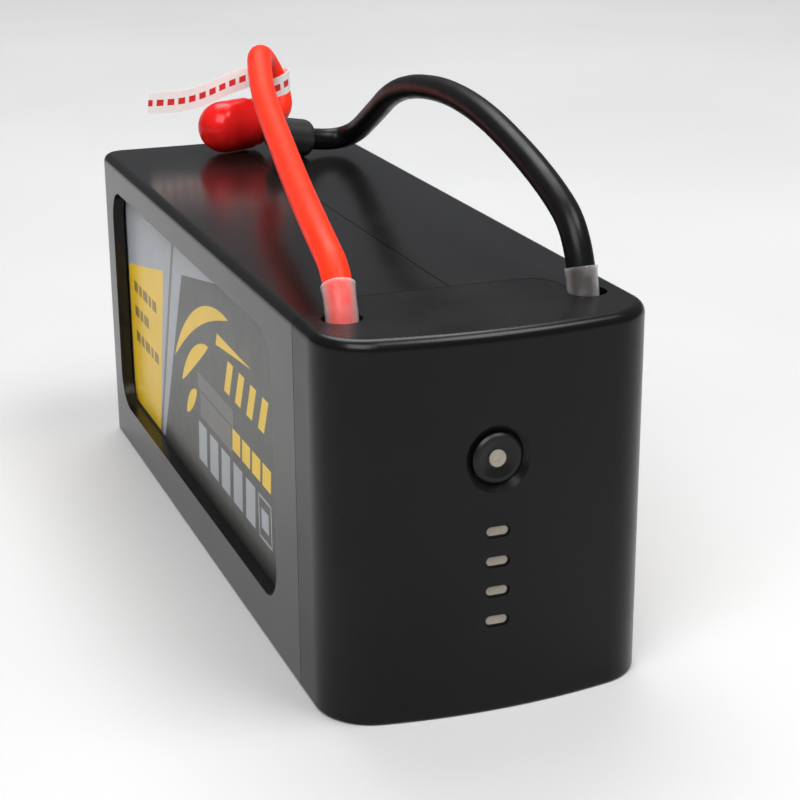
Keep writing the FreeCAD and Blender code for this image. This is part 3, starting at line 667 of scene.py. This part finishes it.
MATERIALS = {
    "shell_plastic": black_plastic("shell_plastic", 0.005, 0.16, 0.21, shine=0.32),
    "cap_plastic": black_plastic("cap_plastic", 0.0042, 0.22, 0.29, shine=0.18),
    "window_plastic": clear_sheet("window_plastic", (0.98, 0.98, 0.98), 0.03, 0.004, 0.09),
    "label_print": printed("label_print", (0.075, 0.075, 0.07)),
    "silver_ink": printed("silver_ink", (0.42, 0.44, 0.47)),
    "yellow_ink": printed("yellow_ink", (0.92, 0.60, 0.025)),
    "grey_ink": printed("grey_ink", (0.17, 0.165, 0.16)),
    "dark_ink": printed("dark_ink", (0.30, 0.18, 0.02)),
    "button_plastic": black_plastic("button_plastic", 0.005, 0.3, 0.4, 0.15 * MM, shine=0.25),
    "light_pipe_plastic": moulded(
        "light_pipe_plastic", (0.30, 0.265, 0.215), 0.22, subsurface_weight=0.2, subsurface_scale=0.001
    ),
    "component_plastic": black_plastic("component_plastic", 0.01, 0.4, 0.55),
    "lamp_resin": moulded("lamp_resin", (0.7, 0.72, 0.6), 0.2),
    "circuit_board": moulded("circuit_board", (0.012, 0.11, 0.045), 0.3),
    "steel": metal("steel", (0.6, 0.6, 0.62), 0.3),
    "cell_pouch": metal("cell_pouch", (0.72, 0.73, 0.75), 0.35),
    "tab_aluminium": metal("tab_aluminium", (0.85, 0.85, 0.86), 0.3),
    "tab_nickel": metal("tab_nickel", (0.72, 0.69, 0.64), 0.28),
    "foam": moulded("foam", (0.03, 0.03, 0.03), 0.8),
    "insulator_plastic": moulded("insulator_plastic", (0.6, 0.58, 0.5), 0.5),
    "silicone_pad": moulded("silicone_pad", (0.3, 0.36, 0.42), 0.6),
    "spreader_aluminium": metal("spreader_aluminium", (0.8, 0.8, 0.82), 0.32),
    "copper": metal("copper", (0.87, 0.45, 0.3), 0.3),
    "red_silicone": silicone(
        "red_silicone", (0.98, 0.032, 0.008), (0.93, 0.026, 0.006), 0.42, specular_ior_level=0.14
    ),
    "black_silicone": silicone(
        "black_silicone", (0.006, 0.006, 0.006), (0.004, 0.004, 0.004), 0.33, specular_ior_level=0.13
    ),
    "clear_sleeve": milky_film("clear_sleeve", (0.96, 0.94, 0.93), (0.55, 0.52, 0.52), 0.12),
    "red_plastic": moulded("red_plastic", (0.62, 0.01, 0.01), 0.3),
    "gold_plate": metal("gold_plate", (1.0, 0.72, 0.29), 0.2),
    "red_clear_plastic": tinted_clear(
        "red_clear_plastic", (0.86, 0.018, 0.016), (0.95, 0.16, 0.1), 0.72, 0.16
    ),
    "black_plastic": black_plastic("black_plastic", 0.02, 0.3, 0.42, shine=0.3),
    "tag_paper": printed_paper("tag_paper"),
}


def paint(piece, name):
    piece.data.materials.clear()
    piece.data.materials.append(MATERIALS[name])
    if piece.type == "MESH":
        for face in piece.data.polygons:
            face.material_index = 0


def paint_frame():
    for part in frame["record"]["subparts"]:
        paint(frame["nodes"][part["node"]], part["material_slot"])


paint_frame()


def add_piece(piece, body, slot, *stands_for):
    paint(piece, slot)
    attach(piece, body)
    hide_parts(*stands_for)


add_piece(red_lead, "pack", "red_silicone", "red_lead")
add_piece(black_lead, "pack", "black_silicone", "black_lead")
add_piece(red_sleeve, "pack", "clear_sleeve", "red_lead_sleeve")
add_piece(black_sleeve, "pack", "clear_sleeve", "black_lead_sleeve")
add_piece(tag_wrap, "pack", "tag_paper", "warning_tag")
add_piece(tag_flag, "pack", "tag_paper", "warning_tag")


def add_ink(piece, finish):
    paint(piece, finish)
    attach(piece, "pack")


add_ink(ink_silver, "silver_ink")
add_ink(ink_yellow_field, "yellow_ink")
add_ink(ink_band, "grey_ink")
add_ink(ink_yellow, "yellow_ink")
add_ink(ink_grey, "grey_ink")
add_ink(ink_blocks, "silver_ink")
add_ink(ink_bars, "dark_ink")


# ---------------------------------------------------------------- floor and light


FLOOR_HALF = 6.0
WORLD_STRENGTH = 0.16
PACK_MIDDLE = (0, 0, 0.05)
# name, place, target, width, height and watts of each light
SOFTBOXES = (
    ("key", (-0.75, -0.95, 1.5), PACK_MIDDLE, 1.2, 1.2, 36),
    ("overhead", (0.6, -0.55, 1.6), PACK_MIDDLE, 0.9, 0.7, 22),
    ("rear", (0.1, 0.8, 1.9), PACK_MIDDLE, 1.4, 1.0, 14),
    ("backdrop", (0.6, 2.6, 3.2), (0.6, 2.4, 0), 2.4, 2.4, 90),
)


def add_floor():
    mesh = bpy.data.meshes.new("floor")
    near, far = -FLOOR_HALF, FLOOR_HALF
    corners = [(near, near, 0), (far, near, 0), (far, far, 0), (near, far, 0)]
    mesh.from_pydata(corners, [], [(0, 1, 2, 3)])
    floor = bpy.data.objects.new("floor", mesh)
    scene.collection.objects.link(floor)
    shader = Shader("floor", (0.47, 0.47, 0.47), 0.8, specular_ior_level=0.2)
    shader.colours(shader.noise(0.3), (0.46, 0.46, 0.46), (0.49, 0.49, 0.49))
    mesh.materials.append(shader.material)


def add_softbox(name, place, target, width, height, power):
    data = bpy.data.lights.new(name, "AREA")
    data.shape = "RECTANGLE"
    data.size = width
    data.size_y = height
    data.energy = power
    light = bpy.data.objects.new(name, data)
    light.location = place
    light.rotation_euler = (Vector(target) - Vector(place)).to_track_quat("-Z", "Y").to_euler()
    scene.collection.objects.link(light)


def add_world(brightness):
    world = bpy.data.worlds.new("studio")
    world.use_nodes = True
    background = world.node_tree.nodes["Background"]
    background.inputs["Color"].default_value = (0.93, 0.95, 1.0, 1)
    background.inputs["Strength"].default_value = brightness
    scene.world = world


scene.view_settings.view_transform = "Standard"
add_floor()
add_world(WORLD_STRENGTH)
for softbox in SOFTBOXES:
    add_softbox(*softbox)
